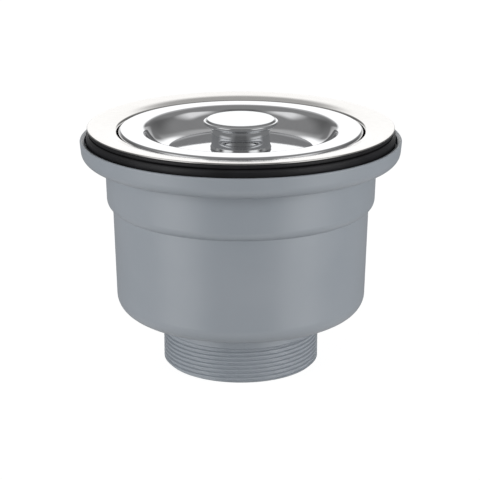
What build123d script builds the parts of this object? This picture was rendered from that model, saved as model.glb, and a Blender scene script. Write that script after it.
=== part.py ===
from build123d import *
import os

os.makedirs("parts", exist_ok=True)

# Basket strainer waste for a kitchen sink.
# Origin: centre of the outlet's end face. +Z up, along the axis of the waste. Millimetres.

# ---------------------------------------------------------------- driving dimensions
# steel flange and strainer bowl (pressed sheet)
flange_radius = 57.0
flange_rim = (flange_radius - 0.042, 91.128)   # the flange is a low arch; its section on the sheet's middle line:
flange_crest = (55.895, 91.278)  # outer end, crest, start of the slope to the recess, lip
flange_slope = (50.452, 90.706)
flange_lip_z = 89.67
bowl_sheet = 0.6
recess_radius = 46.0         # clear radius of the recess that takes the lid
ledge_top = 85.0             # ledge that carries the basket's rim
bowl_mouth_radius = 41.9     # clear radius just under the ledge
bowl_foot_radius = 40.2      # clear radius at the base
bowl_base_bottom = 36.0      # underside of the base, on the boss

# moulded body
rim_top = 87.2               # outer edge of the rim; its top slopes down inwards
rim_radius = 59.8
rim_foot_radius = 59.05
rim_inner_top = 86.5
rim_inner_radius = 58.0
seat_z = 84.2                # gasket seat inside the rim
flange_underside = 78.9
upper_radius_top = 50.59
upper_radius_bottom = 50.12
shoulder_z = 61.15
lower_radius_top = 47.96
lower_radius_bottom = 46.92
body_bottom = 20.7
body_floor = 23.4
bottom_round = 6.48

# outlet
neck_radius = 29.2           # just over the thread; the neck widens a little upwards
neck_radius_top = 29.4
thread_radius = 29.5         # over the crests
thread_length = 13.6
outlet_bore_radius = 25.6
outlet_chamfer = 0.9

# spider and boss inside the body
boss_radius = 7.5
boss_bottom = 12.0
rib_width = 2.6
insert_radius = 5.0
insert_length = 16.0
bolt_radius = 3.95
insert_bore_radius = 4.0

# rubber rings
gasket_radius = 57.4
gasket_top = 89.2
seal_radius = 56.6

# basket
basket_sheet = 0.6
basket_rim_radius = 45.3
basket_base_top = 48.0

# lid and knob
lid_sheet = 0.7
lid_radius = 45.45
lid_rim_top = 90.4
dish_floor_top = 82.6
dish_roll = (36.68, 90.05)   # corners of the dish's section, on the sheet's middle line:
dish_wall = (32.62, 84.20)   # roll under the rim, wide hollow of the wall, edge of the floor
dish_edge = (27.06, 82.45)
knob_top = 93.9
knob_radius = 13.9
knob_neck_radius = 10.85

# ---------------------------------------------------------------- moulded body
# One turned section: outlet, neck, lower cup, shoulder, upper cup, rimmed flange and back down
# inside, then the four-armed spider and its boss in the throat of the outlet.
with BuildPart() as waste_body:
    with BuildSketch(Plane.XZ) as body_section:
        with BuildLine():
            FilletPolyline(
                (outlet_bore_radius, 0),
                (thread_radius - outlet_chamfer, 0),
                (thread_radius, outlet_chamfer),
                (thread_radius, thread_length - 0.3),
                (neck_radius, thread_length),
                (neck_radius_top, body_bottom),
                (lower_radius_bottom, body_bottom),
                (lower_radius_top, shoulder_z),
                (upper_radius_bottom, shoulder_z + 1.01),
                (upper_radius_top, flange_underside),
                (rim_foot_radius, flange_underside),
                (rim_radius, rim_top),
                (rim_inner_radius, rim_inner_top),
                (rim_inner_radius - 0.1, seat_z),
                (48.0, seat_z),
                (47.55, 64.2),
                (45.2, 62.9),
                (44.3, body_floor),
                (outlet_bore_radius, body_floor),
                radius=[0.4, 0, 0, 0, 0, 0.5, bottom_round, 0.3, 3.7, 0.5, 4.03, 0.6,
                        0.3, 0.4, 0.8, 1.5, 1.5, 4.0, 1.2],
                close=True,
            )
        make_face()
    revolve(axis=Axis.Z)

    # four ribs of the spider, on X and on Y
    for rib_plane in (Plane.XZ, Plane.YZ):
        with BuildSketch(rib_plane):
            with BuildLine():
                Polyline(
                    (-26.5, 14.0), (26.5, 14.0), (26.5, 22.5), (33.0, 22.5), (33.0, 24.6),
                    (12.0, 33.0), (-12.0, 33.0), (-33.0, 24.6), (-33.0, 22.5), (-26.5, 22.5),
                    close=True,
                )
            make_face()
        extrude(amount=rib_width / 2, both=True)

    # boss with its blind hole for the threaded insert
    with BuildSketch(Plane.XY.offset(boss_bottom)):
        Circle(boss_radius)
    extrude(amount=bowl_base_bottom - boss_bottom)
    with BuildSketch(Plane.XY.offset(16.0)):
        Circle(insert_radius)
    extrude(amount=bowl_base_bottom - 16.0, mode=Mode.SUBTRACT)
waste_body.part.label = "waste_body"
export_step(waste_body.part, "parts/waste_body.step")

# ---------------------------------------------------------------- brass insert
with BuildPart() as boss_insert:
    with BuildSketch(Plane.XY.offset(bowl_base_bottom - insert_length)):
        Circle(insert_radius)
        Circle(insert_bore_radius, mode=Mode.SUBTRACT)
    extrude(amount=insert_length)
    chamfer(boss_insert.edges().filter_by(GeomType.CIRCLE).group_by(Axis.Z)[-1]
            .sort_by(SortBy.RADIUS)[0], length=0.4)
boss_insert.part.label = "boss_insert"
export_step(boss_insert.part, "parts/boss_insert.step")

# ---------------------------------------------------------------- rubber rings
# Thick ring in the body's rim: two soft lips on its outer edge.
with BuildPart() as body_gasket:
    with BuildSketch(Plane.XZ):
        with BuildLine():
            FilletPolyline(
                (48.6, seat_z),
                (gasket_radius, seat_z),
                (gasket_radius, gasket_top),
                (48.6, gasket_top),
                radius=[0.4, 0.9, 0.9, 0.4],
                close=True,
            )
        make_face()
    revolve(axis=Axis.Z)
body_gasket.part.label = "body_gasket"
export_step(body_gasket.part, "parts/body_gasket.step")

# Thinner ring straight under the steel flange, with a rounded outer bead and a top that follows
# the arch of the flange.
with BuildPart() as flange_seal:
    with BuildSketch(Plane.XZ):
        with BuildLine():
            FilletPolyline(
                (50.6, gasket_top),
                (seal_radius, gasket_top),
                (seal_radius, 90.86),
                (55.9, 90.92),
                (54.5, 90.82),
                (50.6, 90.34),
                radius=[0.3, 0.75, 0.6, 0, 0, 0.3],
                close=True,
            )
        make_face()
    revolve(axis=Axis.Z)
flange_seal.part.label = "flange_seal"
export_step(flange_seal.part, "parts/flange_seal.step")

# ---------------------------------------------------------------- strainer bowl
# One pressed sheet, drawn along its middle line: flange, recess, ledge, bowl and base.
half_sheet = bowl_sheet / 2
with BuildPart() as strainer_bowl:
    with BuildSketch(Plane.XZ):
        with BuildLine() as bowl_line:
            FilletPolyline(
                flange_rim,
                flange_crest,
                flange_slope,
                (recess_radius + half_sheet, flange_lip_z),
                (recess_radius + half_sheet, ledge_top - half_sheet),
                (bowl_mouth_radius + half_sheet, ledge_top - half_sheet),
                (bowl_foot_radius + half_sheet, bowl_base_bottom + half_sheet),
                (4.3, bowl_base_bottom + half_sheet),
                radius=[5.7, 23.7, 1.0, 1.0, 1.4, 6.0],
            )
        trace(bowl_line.line, line_width=bowl_sheet)
    revolve(axis=Axis.Z)
    # soft outer edge of the flange
    fillet(strainer_bowl.edges().filter_by(GeomType.CIRCLE).sort_by(SortBy.RADIUS)[-2:],
           radius=0.25)
    # rings of drain holes in the base
    with BuildSketch(Plane.XY.offset(bowl_base_bottom - 1)):
        with PolarLocations(12.6, 6):
            Circle(3.4)
        with PolarLocations(21.4, 12, start_angle=15):
            Circle(3.6)
        with PolarLocations(30.2, 18):
            Circle(3.6)
    extrude(amount=bowl_sheet + 2, mode=Mode.SUBTRACT)
strainer_bowl.part.label = "strainer_bowl"
export_step(strainer_bowl.part, "parts/strainer_bowl.step")

# ---------------------------------------------------------------- centre bolt and its washer
washer_top = bowl_base_bottom + bowl_sheet + 1.6
with BuildPart() as bolt_washer:
    with BuildSketch(Plane.XY.offset(bowl_base_bottom + bowl_sheet)):
        Circle(8.6)
        Circle(4.2, mode=Mode.SUBTRACT)
    extrude(amount=1.6)
    fillet(bolt_washer.edges().filter_by(GeomType.CIRCLE).group_by(Axis.Z)[-1]
           .sort_by(SortBy.RADIUS)[-1], radius=0.4)
bolt_washer.part.label = "bolt_washer"
export_step(bolt_washer.part, "parts/bolt_washer.step")

with BuildPart() as centre_bolt:
    with BuildSketch(Plane.XZ):
        with BuildLine():
            FilletPolyline(
                (0, 18.6), (3.1, 18.6), (bolt_radius, 19.5), (bolt_radius, washer_top),
                (7.0, washer_top), (7.0, washer_top + 3.8), (0, washer_top + 3.8),
                radius=[0, 0, 0, 0, 0.2, 1.2, 0],
                close=True,
            )
        make_face()
    revolve(axis=Axis.Z)
    # screwdriver slot
    with BuildSketch(Plane.XY.offset(washer_top + 3.8)):
        Rectangle(16, 1.8)
    extrude(amount=-1.9, mode=Mode.SUBTRACT)
centre_bolt.part.label = "centre_bolt"
export_step(centre_bolt.part, "parts/centre_bolt.step")

# ---------------------------------------------------------------- basket
half_basket = basket_sheet / 2
with BuildPart() as basket_cup:
    with BuildSketch(Plane.XZ):
        with BuildLine() as basket_line:
            FilletPolyline(
                (basket_rim_radius, ledge_top + half_basket),
                (41.3, ledge_top + half_basket),
                (38.6, basket_base_top - half_basket),
                (2.6, basket_base_top - half_basket),
                radius=[0.8, 7.0],
            )
        trace(basket_line.line, line_width=basket_sheet)
    revolve(axis=Axis.Z)
    # drain holes round the wall: each cut goes through both sides
    for i in range(9):
        with BuildSketch(Plane.XZ.rotated((0, 0, i * 20.0 + 10.0))):
            with Locations((0, 58.5), (0, 66.0), (0, 73.5)):
                Circle(2.25)
        extrude(amount=50, both=True, mode=Mode.SUBTRACT)
    # and in the floor
    with BuildSketch(Plane.XY.offset(basket_base_top - 2)):
        with PolarLocations(12.0, 8):
            Circle(2.25)
        with PolarLocations(20.0, 14):
            Circle(2.25)
        with PolarLocations(28.0, 20):
            Circle(2.25)
    extrude(amount=4, mode=Mode.SUBTRACT)
basket_cup.part.label = "basket_cup"
export_step(basket_cup.part, "parts/basket_cup.step")

# lifting post: foot, stem and head above the floor, stud below it
with BuildPart() as basket_post:
    with BuildSketch(Plane.XZ):
        with BuildLine():
            FilletPolyline(
                (0, basket_base_top - 4.2),
                (2.5, basket_base_top - 4.2),
                (2.5, basket_base_top),
                (6.0, basket_base_top),
                (6.0, basket_base_top + 1.4),
                (3.0, basket_base_top + 2.4),
                (3.0, 68.5),
                (6.8, 70.5),
                (6.8, 75.6),
                (0, 75.6),
                radius=[0, 0.4, 0, 0.2, 0.5, 0.8, 1.6, 1.2, 1.6, 0],
                close=True,
            )
        make_face()
    revolve(axis=Axis.Z)
basket_post.part.label = "basket_post"
export_step(basket_post.part, "parts/basket_post.step")

with BuildPart() as basket_washer:
    with BuildSketch(Plane.XY.offset(basket_base_top - basket_sheet - 1.0)):
        Circle(6.0)
        Circle(2.7, mode=Mode.SUBTRACT)
    extrude(amount=1.0)
basket_washer.part.label = "basket_washer"
export_step(basket_washer.part, "parts/basket_washer.step")

with BuildPart() as basket_nut:
    with BuildSketch(Plane.XY.offset(basket_base_top - 4.1)):
        RegularPolygon(radius=4.0, side_count=6, major_radius=False)
        Circle(2.55, mode=Mode.SUBTRACT)
    extrude(amount=4.1 - basket_sheet - 1.0)
basket_nut.part.label = "basket_nut"
export_step(basket_nut.part, "parts/basket_nut.step")

# ---------------------------------------------------------------- lid
half_lid = lid_sheet / 2
with BuildPart() as lid_pan:
    with BuildSketch(Plane.XZ):
        with BuildLine() as lid_line:
            FilletPolyline(
                (lid_radius - half_lid, ledge_top + basket_sheet),
                (lid_radius - half_lid, lid_rim_top - half_lid),
                dish_roll,
                dish_wall,
                dish_edge,
                (12.5, dish_floor_top - half_lid),
                (2.7, dish_floor_top - half_lid),
                radius=[1.0, 3.65, 13.55, 0.75, 20.0],
            )
        trace(lid_line.line, line_width=lid_sheet)
    revolve(axis=Axis.Z)
lid_pan.part.label = "lid_pan"
export_step(lid_pan.part, "parts/lid_pan.step")

# Hollow knob: disc head with a bead round its edge, waisted neck, small flare at the foot,
# and a boss inside for the screw.
with BuildPart() as lid_knob:
    with BuildSketch(Plane.XZ):
        with BuildLine():
            FilletPolyline(
                (0, knob_top),
                (12.4, knob_top - 0.15),
                (13.1, knob_top - 0.75),
                (knob_radius, knob_top - 1.0),
                (knob_radius, knob_top - 1.95),
                (12.9, knob_top - 2.5),
                (knob_neck_radius + 0.15, knob_top - 3.1),
                (knob_neck_radius, 87.0),
                (knob_neck_radius + 0.1, dish_floor_top + 1.5),
                (knob_neck_radius + 0.55, dish_floor_top + 0.5),
                (knob_neck_radius + 0.45, dish_floor_top),
                (knob_neck_radius - 1.7, dish_floor_top),
                (knob_neck_radius - 1.9, knob_top - 3.4),
                (4.6, knob_top - 3.4),
                (4.6, dish_floor_top),
                (2.5, dish_floor_top),
                (2.5, knob_top - 3.0),
                (0, knob_top - 3.0),
                radius=[0, 0.5, 0.15, 0.45, 0.5, 0.4, 0.5, 0, 0.6, 0.35, 0.1, 0.1, 0.8,
                        0.5, 0.1, 0.1, 0.1, 0],
                close=True,
            )
        make_face()
    revolve(axis=Axis.Z)
lid_knob.part.label = "lid_knob"
export_step(lid_knob.part, "parts/lid_knob.step")

with BuildPart() as lid_washer:
    with BuildSketch(Plane.XY.offset(dish_floor_top - lid_sheet - 1.0)):
        Circle(6.5)
        Circle(2.7, mode=Mode.SUBTRACT)
    extrude(amount=1.0)
lid_washer.part.label = "lid_washer"
export_step(lid_washer.part, "parts/lid_washer.step")

# pan-head screw from below, with a cross recess
screw_seat = dish_floor_top - lid_sheet - 1.0
with BuildPart() as lid_screw:
    with BuildSketch(Plane.XZ):
        with BuildLine():
            FilletPolyline(
                (0, screw_seat - 2.6), (4.4, screw_seat - 2.6), (4.4, screw_seat),
                (2.45, screw_seat), (2.45, 89.2), (1.8, 90.0), (0, 90.0),
                radius=[0, 1.1, 0.2, 0, 0, 0, 0],
                close=True,
            )
        make_face()
    revolve(axis=Axis.Z)
    with BuildSketch(Plane.XY.offset(screw_seat - 2.6)):
        Rectangle(4.4, 1.0)
        Rectangle(1.0, 4.4)
    extrude(amount=1.5, mode=Mode.SUBTRACT)
lid_screw.part.label = "lid_screw"
export_step(lid_screw.part, "parts/lid_screw.step")
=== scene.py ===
import bpy
import bmesh
import math
from mathutils import Matrix, Vector


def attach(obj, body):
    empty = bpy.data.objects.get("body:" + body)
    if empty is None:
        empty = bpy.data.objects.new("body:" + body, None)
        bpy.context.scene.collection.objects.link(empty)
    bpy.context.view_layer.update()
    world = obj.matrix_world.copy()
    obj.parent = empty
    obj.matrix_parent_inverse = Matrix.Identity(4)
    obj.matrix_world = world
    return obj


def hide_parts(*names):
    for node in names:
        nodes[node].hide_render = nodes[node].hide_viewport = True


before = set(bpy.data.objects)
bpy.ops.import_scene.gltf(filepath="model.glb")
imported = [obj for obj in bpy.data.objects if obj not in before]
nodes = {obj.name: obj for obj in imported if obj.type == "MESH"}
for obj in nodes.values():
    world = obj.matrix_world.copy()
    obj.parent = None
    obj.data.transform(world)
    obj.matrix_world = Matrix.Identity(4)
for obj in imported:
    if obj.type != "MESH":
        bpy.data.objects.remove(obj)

MM = 0.001
scene = bpy.context.scene

# ------------------------------------------------------------------ profile and lathe tools


def rounded(points, radii, closed=False, step=7.0, near=0.06):
    """A polyline with tangent arcs at its corners, sampled finely. A point close to each end of an
    arc keeps the shading of the straight runs flat. Millimetres."""
    n = len(points)
    out = []
    for i, p in enumerate(points):
        p = Vector(p)
        end = not closed and i in (0, n - 1)
        r = 0.0 if end else radii[i if closed else i - 1]
        if end or r <= 0:
            out.append(p)
            continue
        a, b = Vector(points[i - 1]), Vector(points[(i + 1) % n])
        u, v = (a - p), (b - p)
        lu, lv = u.length, v.length
        u.normalize()
        v.normalize()
        half = math.acos(max(-1.0, min(1.0, u.dot(v)))) / 2
        reach = r / math.tan(half)
        start, stop = p + u * reach, p + v * reach
        centre = p + (u + v).normalized() * (r / math.sin(half))
        a0 = math.atan2(start.y - centre.y, start.x - centre.x)
        a1 = math.atan2(stop.y - centre.y, stop.x - centre.x)
        turn = (a1 - a0 + math.pi) % (2 * math.pi) - math.pi
        k = max(3, int(math.ceil(abs(math.degrees(turn)) / step)))
        if lu - reach > 3 * near:
            out.append(start + u * near)
        for j in range(k + 1):
            t = a0 + turn * j / k
            out.append(centre + Vector((math.cos(t), math.sin(t))) * r)
        if lv - reach > 3 * near:
            out.append(stop + v * near)
    return out


def sharp_safe(points, near=0.05, limit=25.0):
    """Adds a point close to each sharp corner, on both sides, so that smooth shading keeps it crisp."""
    out = []
    n = len(points)
    for i, p in enumerate(points):
        a, b = points[i - 1], points[(i + 1) % n]
        u, v = (a - p), (b - p)
        if u.length < 1e-9 or v.length < 1e-9:
            continue
        bend = 180 - math.degrees(u.angle(v))
        if bend > limit:
            if u.length > 3 * near:
                out.append(p + u.normalized() * near)
            out.append(p)
            if v.length > 3 * near:
                out.append(p + v.normalized() * near)
        else:
            out.append(p)
    return out


def thicken(line, t):
    """The closed outline of a sheet of thickness t about a middle line."""
    left, right = [], []
    n = len(line)
    for i, p in enumerate(line):
        a = line[max(i - 1, 0)]
        b = line[min(i + 1, n - 1)]
        d0 = (p - a).normalized() if i else (b - p).normalized()
        d1 = (b - p).normalized() if i < n - 1 else d0
        d = (d0 + d1).normalized()
        k = t / 2 / max(0.3, d.dot(d1))
        nrm = Vector((-d.y, d.x)) * k
        left.append(p + nrm)
        right.append(p - nrm)
    return left + right[::-1]


def split_long(points, longest, closed=True):
    """Divides long straight runs, so that long thin quads don't spread over a sheet."""
    out = []
    n = len(points)
    for i, p in enumerate(points):
        out.append(p)
        if not closed and i == n - 1:
            break
        q = points[(i + 1) % n]
        k = int((q - p).length / longest)
        for j in range(1, k + 1):
            out.append(p.lerp(q, j / (k + 1)))
    return out


def lathe(name, outline, turns=256, radius=None):
    """Turns a closed outline of (r, z) in millimetres round Z into a closed mesh. radius(i, r, z, a)
    may return another radius for a point of the outline at angle a."""
    bm = bmesh.new()
    rings = []
    for i, p in enumerate(outline):
        if p.x < 1e-6:
            rings.append([bm.verts.new((0, 0, p.y * MM))])
            continue
        ring = []
        for k in range(turns):
            a = 2 * math.pi * k / turns
            r = radius(i, p.x, p.y, a) if radius else p.x
            ring.append(bm.verts.new((r * math.cos(a) * MM, r * math.sin(a) * MM, p.y * MM)))
        rings.append(ring)
    n = len(rings)
    for i in range(n):
        A, B = rings[i], rings[(i + 1) % n]
        if len(A) == 1 and len(B) == 1:
            continue
        for k in range(turns):
            l = (k + 1) % turns
            if len(A) == 1:
                bm.faces.new((A[0], B[l], B[k]))
            elif len(B) == 1:
                bm.faces.new((A[k], A[l], B[0]))
            else:
                bm.faces.new((A[k], A[l], B[l], B[k]))
    bmesh.ops.recalc_face_normals(bm, faces=bm.faces)
    for f in bm.faces:
        f.smooth = True
    mesh = bpy.data.meshes.new(name)
    bm.to_mesh(mesh)
    bm.free()
    ob = bpy.data.objects.new(name, mesh)
    scene.collection.objects.link(ob)
    return ob


def prism(name, outline, depth, matrix=Matrix()):
    """Extrudes a closed outline of (x, y) in millimetres by +-depth/2 along its normal."""
    bm = bmesh.new()
    top = [bm.verts.new(matrix @ Vector((x * MM, y * MM, depth / 2 * MM))) for x, y in outline]
    low = [bm.verts.new(matrix @ Vector((x * MM, y * MM, -depth / 2 * MM))) for x, y in outline]
    bm.faces.new(top)
    bm.faces.new(low[::-1])
    n = len(outline)
    for i in range(n):
        j = (i + 1) % n
        bm.faces.new((top[i], low[i], low[j], top[j]))
    bmesh.ops.recalc_face_normals(bm, faces=bm.faces)
    mesh = bpy.data.meshes.new(name)
    bm.to_mesh(mesh)
    bm.free()
    ob = bpy.data.objects.new(name, mesh)
    scene.collection.objects.link(ob)
    return ob


def boolean(ob, tools, operation):
    """Applies a boolean of several closed tools and removes them."""
    for t in tools:
        m = ob.modifiers.new("b", "BOOLEAN")
        m.operation = operation
        m.solver = "EXACT"
        m.object = t
    bpy.context.view_layer.update()
    graph = bpy.context.evaluated_depsgraph_get()
    made = bpy.data.meshes.new_from_object(ob.evaluated_get(graph))
    old = ob.data
    ob.modifiers.clear()
    ob.data = made
    bpy.data.meshes.remove(old)
    for t in tools:
        data = t.data
        bpy.data.objects.remove(t)
        bpy.data.meshes.remove(data)
    for p in ob.data.polygons:
        p.use_smooth = True
    ob.data.set_sharp_from_angle(angle=math.radians(35))


def join(name, parts):
    """Joins closed meshes into one object."""
    bm = bmesh.new()
    for p in parts:
        bm.from_mesh(p.data)
    mesh = bpy.data.meshes.new(name)
    bm.to_mesh(mesh)
    bm.free()
    for p in parts:
        data = p.data
        bpy.data.objects.remove(p)
        bpy.data.meshes.remove(data)
    ob = bpy.data.objects.new(name, mesh)
    scene.collection.objects.link(ob)
    return ob


# ------------------------------------------------------------------ camera

cam_data = bpy.data.cameras.new("camera")
cam_data.sensor_width = 36.0
cam_data.lens = 126.36
cam_data.clip_end = 20.0
camera = bpy.data.objects.new("camera", cam_data)
camera.location = (-0.00030, -0.6092, 0.2379)
camera.rotation_euler = (math.radians(72.559), 0.0, 0.0)
scene.collection.objects.link(camera)
scene.camera = camera

scene.view_settings.view_transform = "Standard"
scene.view_settings.look = "None"
scene.view_settings.exposure = 0.0
scene.view_settings.gamma = 1.0


# ------------------------------------------------------------------ materials


class Tree:
    """A short hand for building a node tree."""

    def __init__(self, tree):
        self.tree = tree
        self.nodes = tree.nodes
        self.links = tree.links

    def add(self, kind, **values):
        node = self.nodes.new(kind)
        for key, value in values.items():
            setattr(node, key, value)
        return node

    def plug(self, value, socket):
        if hasattr(value, "is_output"):
            self.links.new(value, socket)
        else:
            socket.default_value = value

    def math(self, operation, a, b=None, c=None, clamp=False):
        node = self.add("ShaderNodeMath", operation=operation, use_clamp=clamp)
        for i, v in enumerate((a, b, c)):
            if v is not None:
                self.plug(v, node.inputs[i])
        return node.outputs[0]

    def step(self, value, lo, hi, a=0.0, b=1.0):
        """Smooth change from a to b as value goes from lo to hi."""
        node = self.add("ShaderNodeMapRange", interpolation_type="SMOOTHSTEP")
        self.plug(value, node.inputs[0])
        for i, v in ((1, lo), (2, hi), (3, a), (4, b)):
            node.inputs[i].default_value = v
        return node.outputs[0]

    def span(self, value, a, b):
        """Maps 0.3..0.7 of a noise to a..b."""
        node = self.add("ShaderNodeMapRange")
        self.plug(value, node.inputs[0])
        for i, v in ((1, 0.3), (2, 0.7), (3, a), (4, b)):
            node.inputs[i].default_value = v
        return node.outputs[0]

    def noise(self, vector, scale, detail=3.0, rough=0.5):
        node = self.add("ShaderNodeTexNoise")
        self.plug(vector, node.inputs["Vector"])
        node.inputs["Scale"].default_value = scale
        node.inputs["Detail"].default_value = detail
        node.inputs["Roughness"].default_value = rough
        return node.outputs[0]

    def blend(self, factor, a, b):
        node = self.add("ShaderNodeMix", data_type="RGBA")
        self.plug(factor, node.inputs[0])
        node.inputs[6].default_value = (*a, 1)
        node.inputs[7].default_value = (*b, 1)
        return node.outputs[2]

    def bump(self, height, distance, strength=1.0, normal=None):
        node = self.add("ShaderNodeBump")
        self.plug(height, node.inputs["Height"])
        node.inputs["Distance"].default_value = distance
        node.inputs["Strength"].default_value = strength
        if normal is not None:
            self.plug(normal, node.inputs["Normal"])
        return node.outputs[0]


def shader(name):
    mat = bpy.data.materials.new(name)
    mat.use_nodes = True
    t = Tree(mat.node_tree)
    bsdf = t.nodes["Principled BSDF"]
    coord = t.add("ShaderNodeTexCoord").outputs["Object"]
    return mat, t, bsdf, coord


def round_coord(t, coord, along=1.0, across=1.0, up=0.0):
    """Coordinates that run round the axis: (radius, height, a short way round), for turned or spun marks."""
    sep = t.add("ShaderNodeSeparateXYZ")
    t.links.new(coord, sep.inputs[0])
    r = t.math("SQRT", t.math("ADD", t.math("MULTIPLY", sep.outputs[0], sep.outputs[0]),
                              t.math("MULTIPLY", sep.outputs[1], sep.outputs[1])))
    ca = t.math("DIVIDE", sep.outputs[0], t.math("MAXIMUM", r, 0.0005))
    sa = t.math("DIVIDE", sep.outputs[1], t.math("MAXIMUM", r, 0.0005))
    # the mark changes with the radius and the height, and slowly with the angle
    comb = t.add("ShaderNodeCombineXYZ")
    t.plug(t.math("ADD", t.math("MULTIPLY", r, across), t.math("MULTIPLY", ca, along)), comb.inputs[0])
    t.plug(t.math("ADD", t.math("MULTIPLY", r, across), t.math("MULTIPLY", sa, along)), comb.inputs[1])
    t.plug(t.math("MULTIPLY", sep.outputs[2], up), comb.inputs[2])
    return comb.outputs[0], r, sep.outputs[2]


def grey_plastic():
    mat, t, b, co = shader("satin_grey_polypropylene")
    tone = t.noise(co, 38.0, 3.0)
    t.plug(t.blend(t.span(tone, 0.0, 1.0), (0.262, 0.288, 0.318), (0.280, 0.304, 0.334)), b.inputs["Base Color"])
    t.plug(t.span(t.noise(co, 260.0, 4.0), 0.30, 0.36), b.inputs["Roughness"])
    b.inputs["Specular IOR Level"].default_value = 0.95
    b.inputs["IOR"].default_value = 1.49
    grain = t.bump(t.noise(co, 2600.0, 2.0), 0.00002, 0.25)
    t.plug(t.bump(t.noise(co, 90.0, 2.0), 0.00008, 0.35, grain), b.inputs["Normal"])
    return mat


def black_rubber(name, low, high, rough):
    mat, t, b, co = shader(name)
    t.plug(t.blend(t.span(t.noise(co, 120.0, 4.0), 0.0, 1.0), low, high), b.inputs["Base Color"])
    t.plug(t.span(t.noise(co, 700.0, 4.0), rough[0], rough[1]), b.inputs["Roughness"])
    b.inputs["Specular IOR Level"].default_value = 0.5
    fine = t.bump(t.noise(co, 3000.0, 3.0), 0.00002, 0.35)
    t.plug(t.bump(t.noise(co, 160.0, 2.0), 0.0001, 0.3, fine), b.inputs["Normal"])
    return mat


def spun_metal(name, low, high, rough, line=0.000002, strength=0.3, wave=0.0, along=0.05):
    """Polished or turned metal: fine marks that run round the axis."""
    mat, t, b, co = shader(name)
    ring, r, z = round_coord(t, co, along=along, across=1.0, up=1.0)
    marks = t.noise(ring, 1500.0, 4.0, 0.6)
    t.plug(t.blend(t.span(t.noise(ring, 420.0, 3.0), 0.0, 1.0), low, high), b.inputs["Base Color"])
    t.plug(t.span(marks, rough[0], rough[1]), b.inputs["Roughness"])
    b.inputs["Metallic"].default_value = 1.0
    normal = t.bump(marks, line, strength)
    if wave:
        normal = t.bump(t.noise(co, 55.0, 1.0), wave, 1.0, normal)
    t.plug(normal, b.inputs["Normal"])
    return mat


body_mat = grey_plastic()
gasket_mat = black_rubber("gasket_rubber", (0.009, 0.009, 0.010), (0.013, 0.013, 0.015), (0.36, 0.46))
seal_mat = black_rubber("seal_rubber", (0.008, 0.008, 0.009), (0.012, 0.012, 0.013), (0.38, 0.48))
bowl_mat = spun_metal("polished_pressed_steel", (0.80, 0.785, 0.765), (0.83, 0.815, 0.795), (0.07, 0.12))
lid_mat = spun_metal("mirror_polished_steel", (0.85, 0.855, 0.87), (0.88, 0.885, 0.90), (0.025, 0.05), line=0.0000008)
knob_mat = spun_metal("chrome_plate", (0.80, 0.815, 0.83), (0.83, 0.845, 0.86), (0.015, 0.03), line=0.0000004)
fast_mat = spun_metal("turned_steel", (0.56, 0.56, 0.55), (0.62, 0.62, 0.61), (0.22, 0.36), line=0.00001)
basket_mat = spun_metal("pressed_perforated_steel", (0.68, 0.67, 0.655), (0.72, 0.71, 0.695), (0.16, 0.26), line=0.000004)
brass_mat = spun_metal("turned_brass", (0.62, 0.44, 0.17), (0.70, 0.52, 0.22), (0.20, 0.34), line=0.00001)


def dress(ob, mat):
    ob.data.materials.clear()
    ob.data.materials.append(mat)


# ------------------------------------------------------------------ moulded body


def body_outline():
    pts = [(25.6, 0), (28.6, 0), (29.5, 0.9), (29.5, 13.3), (29.2, 13.6), (29.4, 20.7), (46.92, 20.7),
           (47.96, 61.15), (50.12, 62.16), (50.59, 78.9), (59.05, 78.9), (59.8, 87.2), (58.0, 86.5),
           (57.9, 84.2), (48.0, 84.2), (47.55, 64.2), (45.2, 62.9), (44.3, 23.4), (25.6, 23.4)]
    radii = [0.4, 0, 0, 0, 0, 0.5, 6.48, 0.3, 3.7, 0.5, 4.03, 0.6, 0.3, 0.4, 0.8, 1.5, 1.5, 4.0, 1.2]
    line = rounded(pts, radii, closed=True, step=9.0)
    line = split_long(sharp_safe(line), 5.0)
    # fine rows along the threaded run
    out = []
    n = len(line)
    for i, p in enumerate(line):
        out.append(p)
        q = line[(i + 1) % n]
        if p.x > 28.5 and q.x > 28.5 and p.y < 13.7 and q.y < 13.7 and p.x < 30:
            k = int(abs(q.y - p.y) / 0.135)
            for j in range(1, k + 1):
                out.append(p.lerp(q, j / (k + 1)))
    return out


def thread(i, r, z, a):
    """A right-hand two-start thread: ridges 1.65 mm apart, 3.3 mm of lead, running out at the top."""
    if r < 28.5 or r > 29.6 or z > 13.7:
        return r
    phase = (z - 3.3 * a / (2 * math.pi)) / 1.65 - 0.08
    d = abs(phase - round(phase)) * 2          # 0 in the middle of a groove, 1 on a crest
    cut = max(0.0, min(1.0, (0.74 - d) / 0.52))
    cut = cut * cut * (3 - 2 * cut)
    fade = max(0.0, min(1.0, (13.45 - z) / 0.7))
    return min(r, 29.5 - 0.72 * cut * fade)


body = lathe("body_cup", body_outline(), 240, thread)
rib = [(-26.5, 14.0), (26.5, 14.0), (26.5, 22.5), (33.0, 22.5), (33.0, 24.6), (12.0, 33.0), (-12.0, 33.0),
       (-33.0, 24.6), (-33.0, 22.5), (-26.5, 22.5)]
on_x = Matrix(((1, 0, 0, 0), (0, 0, -1, 0), (0, 1, 0, 0), (0, 0, 0, 1)))
on_y = Matrix.Rotation(math.radians(90), 4, "Z") @ on_x
boss = rounded([(0, 12.0), (7.5, 12.0), (7.5, 36.0), (5.0, 36.0), (5.0, 16.0), (0, 16.0)],
               [0, 0.5, 0.25, 0.2, 0, 0], closed=True, step=15.0)
spider = lathe("spider_boss", split_long(boss, 6.0), 96)
boolean(spider, [prism("rib_x", rib, 2.6, on_x), prism("rib_y", rib, 2.6, on_y)], "UNION")
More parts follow.
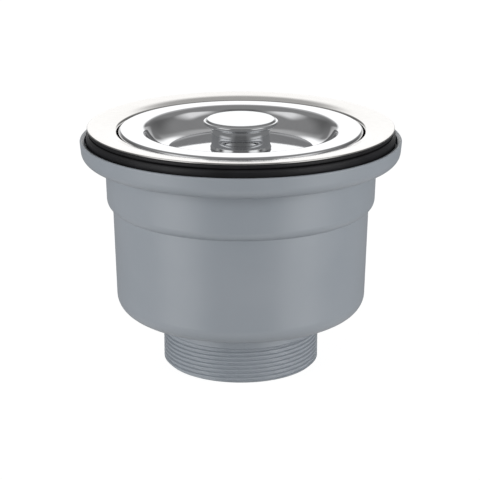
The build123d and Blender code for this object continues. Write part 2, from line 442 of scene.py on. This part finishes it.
# the ribs run through the boss: its blind hole is cut again
hole = rounded([(0, 16.0), (5.0, 16.0), (5.0, 40.0), (0, 40.0)], [0, 0, 0, 0], closed=True)
boolean(spider, [lathe("boss_hole", hole, 96)], "DIFFERENCE")
boolean(body, [spider], "UNION")
dress(body, body_mat)
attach(body, "root")
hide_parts("waste_body")

# ------------------------------------------------------------------ rubber rings

ring = rounded([(48.6, 84.2), (57.4, 84.2), (57.4, 89.2), (48.6, 89.2)], [0.4, 0.9, 0.9, 0.4], closed=True, step=10.0)
gasket = lathe("gasket_ring", split_long(ring, 2.0), 224)
dress(gasket, gasket_mat)
ring = rounded([(50.6, 89.2), (56.6, 89.2), (56.6, 90.86), (55.9, 90.92), (54.5, 90.82), (50.6, 90.34)],
               [0.3, 0.75, 0.6, 0, 0, 0.3], closed=True, step=10.0)
seal = lathe("seal_ring", split_long(ring, 2.0), 224)
dress(seal, seal_mat)
for ob, node in ((gasket, "body_gasket"), (seal, "flange_seal")):
    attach(ob, "root")
    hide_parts(node)

# ------------------------------------------------------------------ strainer bowl

t = 0.6
tilt = math.radians(8.0)                            # the flange's outer end falls by 8 degrees
out_dir, up_dir = Vector((math.cos(tilt), -math.sin(tilt))), Vector((math.sin(tilt), math.cos(tilt)))
end = Vector((56.958, 91.128)) - out_dir * 0.25
mid = rounded([end, (55.895, 91.278), (50.452, 90.706), (46.0 + t / 2, 89.67), (46.0 + t / 2, 87.0)],
              [5.7, 23.7, 1.0], step=2.0)[:-1]
mid += rounded([(46.0 + t / 2, 87.0), (46.0 + t / 2, 85.0 - t / 2), (41.9 + t / 2, 85.0 - t / 2),
                (40.2 + t / 2, 36.0 + t / 2), (4.3, 36.0 + t / 2)], [1.0, 1.4, 6.0], step=7.5)
outline = thicken(mid, t)
# softly rounded outer edge
outline += [end + up_dir * (0.05 + 0.25 * math.cos(a)) + out_dir * 0.25 * math.sin(a)
            for a in [math.radians(v) for v in (15, 35, 55, 75, 90)]]
outline += [end - up_dir * (0.05 + 0.25 * math.sin(a)) + out_dir * 0.25 * math.cos(a)
            for a in [math.radians(v) for v in (0, 15, 35, 55, 75)]]
bowl = lathe("strainer_cup", split_long(outline, 3.0), 288)
holes = []
for count, radius, r, start in ((6, 12.6, 3.4, 0), (12, 21.4, 3.6, 15), (18, 30.2, 3.6, 0)):
    for k in range(count):
        a = math.radians(start + 360.0 * k / count)
        disc = [(r * math.cos(2 * math.pi * j / 32), r * math.sin(2 * math.pi * j / 32)) for j in range(32)]
        place = Matrix.Translation((radius * math.cos(a) * MM, radius * math.sin(a) * MM, 0.0363))
        holes.append(prism("hole", disc, 3.0, place))
boolean(bowl, [join("holes", holes)], "DIFFERENCE")
dress(bowl, bowl_mat)
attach(bowl, "root")
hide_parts("strainer_bowl")

# ------------------------------------------------------------------ lid

t = 0.7
mid = rounded([(45.45 - t / 2, 85.6), (45.45 - t / 2, 90.4 - t / 2), (36.68, 90.05), (32.62, 84.20),
               (27.06, 82.45), (12.5, 82.6 - t / 2), (2.7, 82.6 - t / 2)], [1.0, 3.65, 13.55, 0.75, 20.0], step=2.5)
lid = lathe("lid_dish", split_long(sharp_safe(thicken(mid, t)), 2.0), 320)
dress(lid, lid_mat)
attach(lid, "root")
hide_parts("lid_pan")

top = 93.9
knob_line = rounded(
    [(0, top), (12.4, top - 0.15), (13.1, top - 0.75), (13.9, top - 1.0), (13.9, top - 1.95), (12.9, top - 2.5),
     (11.0, top - 3.1), (10.85, 87.0), (10.95, 84.1), (11.4, 83.1), (11.3, 82.6), (9.15, 82.6), (8.95, 90.5),
     (4.6, 90.5), (4.6, 82.6), (2.5, 82.6), (2.5, 90.9), (0, 90.9)],
    [0, 0.5, 0.15, 0.45, 0.5, 0.4, 0.5, 0, 0.6, 0.35, 0.1, 0.1, 0.8, 0.5, 0.1, 0.1, 0.1, 0], closed=True, step=8.0,
    near=0.04)
knob = lathe("lid_grip", split_long(sharp_safe(knob_line), 1.0), 256)
dress(knob, knob_mat)
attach(knob, "root")
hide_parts("lid_knob")

# ------------------------------------------------------------------ pieces that keep their CAD shape

for name, mat in (("boss_insert", brass_mat), ("bolt_washer", fast_mat), ("centre_bolt", fast_mat),
                  ("basket_cup", basket_mat), ("basket_post", fast_mat), ("basket_washer", fast_mat),
                  ("basket_nut", fast_mat), ("lid_washer", fast_mat), ("lid_screw", fast_mat)):
    dress(nodes[name], mat)

# ------------------------------------------------------------------ floor and light

# a pale floor that rises in a curve to a wall all round, as in a studio cove
bm = bmesh.new()
cove = [(0.0, 0.0)] + [(r, 0.0) for r in (0.03, 0.06, 0.09, 0.13, 0.2, 0.3, 0.5, 0.9, 1.3)]
cove += [(1.3 + 0.7 * math.sin(math.radians(v)), 0.7 - 0.7 * math.cos(math.radians(v))) for v in range(10, 91, 10)]
cove += [(2.0, 1.6), (2.0, 2.6)]
rings = []
for r, z in cove:
    rings.append([bm.verts.new((r * math.cos(2 * math.pi * k / 96), r * math.sin(2 * math.pi * k / 96), z))
                  for k in range(96)] if r else [bm.verts.new((0, 0, 0))])
for A, B in zip(rings[:-1], rings[1:]):
    for k in range(96):
        l = (k + 1) % 96
        bm.faces.new((A[0], B[k], B[l]) if len(A) == 1 else (A[k], B[k], B[l], A[l]))
for f in bm.faces:
    f.smooth = True
mesh = bpy.data.meshes.new("floor")
bm.to_mesh(mesh)
bm.free()
floor = bpy.data.objects.new("floor", mesh)
scene.collection.objects.link(floor)
mat, t, b, co = shader("pale_floor")
t.plug(t.blend(t.span(t.noise(co, 6.0, 2.0), 0.0, 1.0), (0.10, 0.10, 0.10), (0.12, 0.12, 0.12)), b.inputs["Base Color"])
t.plug(t.span(t.noise(co, 40.0, 2.0), 0.75, 0.85), b.inputs["Roughness"])
b.inputs["Specular IOR Level"].default_value = 0.0
b.inputs["Emission Color"].default_value = (1.0, 1.0, 1.0, 1)
b.inputs["Emission Strength"].default_value = 0.95
dress(floor, mat)
# the object is lit by the world and the lamps alone
floor.visible_diffuse = False
floor.visible_glossy = False
floor.visible_transmission = False
floor.visible_shadow = False

world = bpy.data.worlds.new("studio")
scene.world = world
world.use_nodes = True
w = Tree(world.node_tree)
for n in list(w.nodes):
    w.nodes.remove(n)
out = w.add("ShaderNodeOutputWorld")
sky = w.add("ShaderNodeBackground")
w.links.new(sky.outputs[0], out.inputs[0])
co = w.add("ShaderNodeTexCoord").outputs["Generated"]
norm = w.add("ShaderNodeVectorMath", operation="NORMALIZE")
w.links.new(co, norm.inputs[0])
sep = w.add("ShaderNodeSeparateXYZ")
w.links.new(norm.outputs[0], sep.inputs[0])
X, Y, Z = sep.outputs
# in degrees: az is 0 towards the front and 180 behind the object, el is the height over the horizon
az = w.math("MULTIPLY", w.math("ABSOLUTE", w.math("ARCTAN2", X, w.math("MULTIPLY", Y, -1.0))), 180 / math.pi)
el = w.math("MULTIPLY", w.math("ARCSINE", Z), 180 / math.pi)


def mix(f, a, b):
    """a where f is 0, b where f is 1"""
    node = w.add("ShaderNodeMix", data_type="FLOAT")
    w.plug(f, node.inputs[0])
    w.plug(a, node.inputs[2])
    w.plug(b, node.inputs[3])
    return node.outputs[0]


def window(value, lo, lo_end, hi_start, hi):
    """1 between lo_end and hi_start, falling softly to 0 at lo and hi"""
    return w.math("MULTIPLY", w.step(value, lo, lo_end), w.step(value, hi_start, hi, 1.0, 0.0))


# the dark room: darkest in front, where the camera stands, and low down beside the object
level = mix(w.step(az, 70.0, 100.0), 0.03, 0.12)
level = mix(w.step(az, 130.0, 165.0), level, 0.20)
level = mix(w.step(el, 22.0, 42.0), level, 0.23)
# the ceiling
level = mix(w.step(el, 50.0, 72.0), level, 0.24)
# a dim band over the horizon, in front and on both sides
level = mix(w.math("MULTIPLY", w.step(az, 100.0, 122.0, 1.0, 0.0), window(el, 2.0, 7.0, 16.0, 23.0)), level, 0.34)
front = w.math("MULTIPLY", w.step(az, 18.0, 42.0, 1.0, 0.0), window(el, 22.0, 32.0, 58.0, 80.0))
level = mix(front, level, 0.13)
# a softbox on each side in front, with a dimmer part above it
level = mix(w.math("MULTIPLY", window(az, 34.0, 58.0, 80.0, 108.0), window(el, 30.0, 37.0, 48.0, 58.0)), level, 0.78)
level = mix(w.math("MULTIPLY", window(az, 27.0, 42.0, 62.0, 86.0), window(el, -40.0, -24.0, 28.0, 40.0)), level, 0.92)
# the white wall straight behind
level = mix(w.math("MULTIPLY", w.step(az, 150.0, 168.0), window(el, 18.0, 24.0, 44.0, 56.0)), level, 0.42)
level = mix(w.math("MULTIPLY", w.step(az, 140.0, 160.0), window(el, -12.0, -4.0, 9.0, 14.0)), level, 0.50)
level = mix(w.math("MULTIPLY", w.step(az, 161.0, 170.0), window(el, -4.0, 4.5, 25.0, 36.0)), level, 1.16)
# light that comes back from the floor
level = mix(w.step(el, -44.0, -24.0), mix(w.step(el, -80.0, -35.0), 0.34, 0.50), level)
w.links.new(level, sky.inputs["Strength"])
sky.inputs["Color"].default_value = (1.0, 1.0, 1.0, 1)

# large soft lamps that light the satin body from both sides and from behind and leave no mark on the polished steel
for name, side, turn, power in (("lamp_left", -1, 66.0, 19.3), ("lamp_right", 1, 66.0, 19.3), ("lamp_back", 1, 180.0, 16.0)):
    data = bpy.data.lights.new(name, "AREA")
    data.shape = "SQUARE"
    data.size = 1.2
    data.energy = power
    lamp = bpy.data.objects.new(name, data)
    a, e = math.radians(turn), math.radians(6.0)
    place = Vector((side * math.sin(a) * math.cos(e), -math.cos(a) * math.cos(e), math.sin(e))) * 1.5
    lamp.location = place + Vector((0, 0, 0.05))
    lamp.rotation_euler = (-place).to_track_quat("-Z", "Y").to_euler()
    lamp.visible_glossy = False
    lamp.visible_camera = False
    scene.collection.objects.link(lamp)
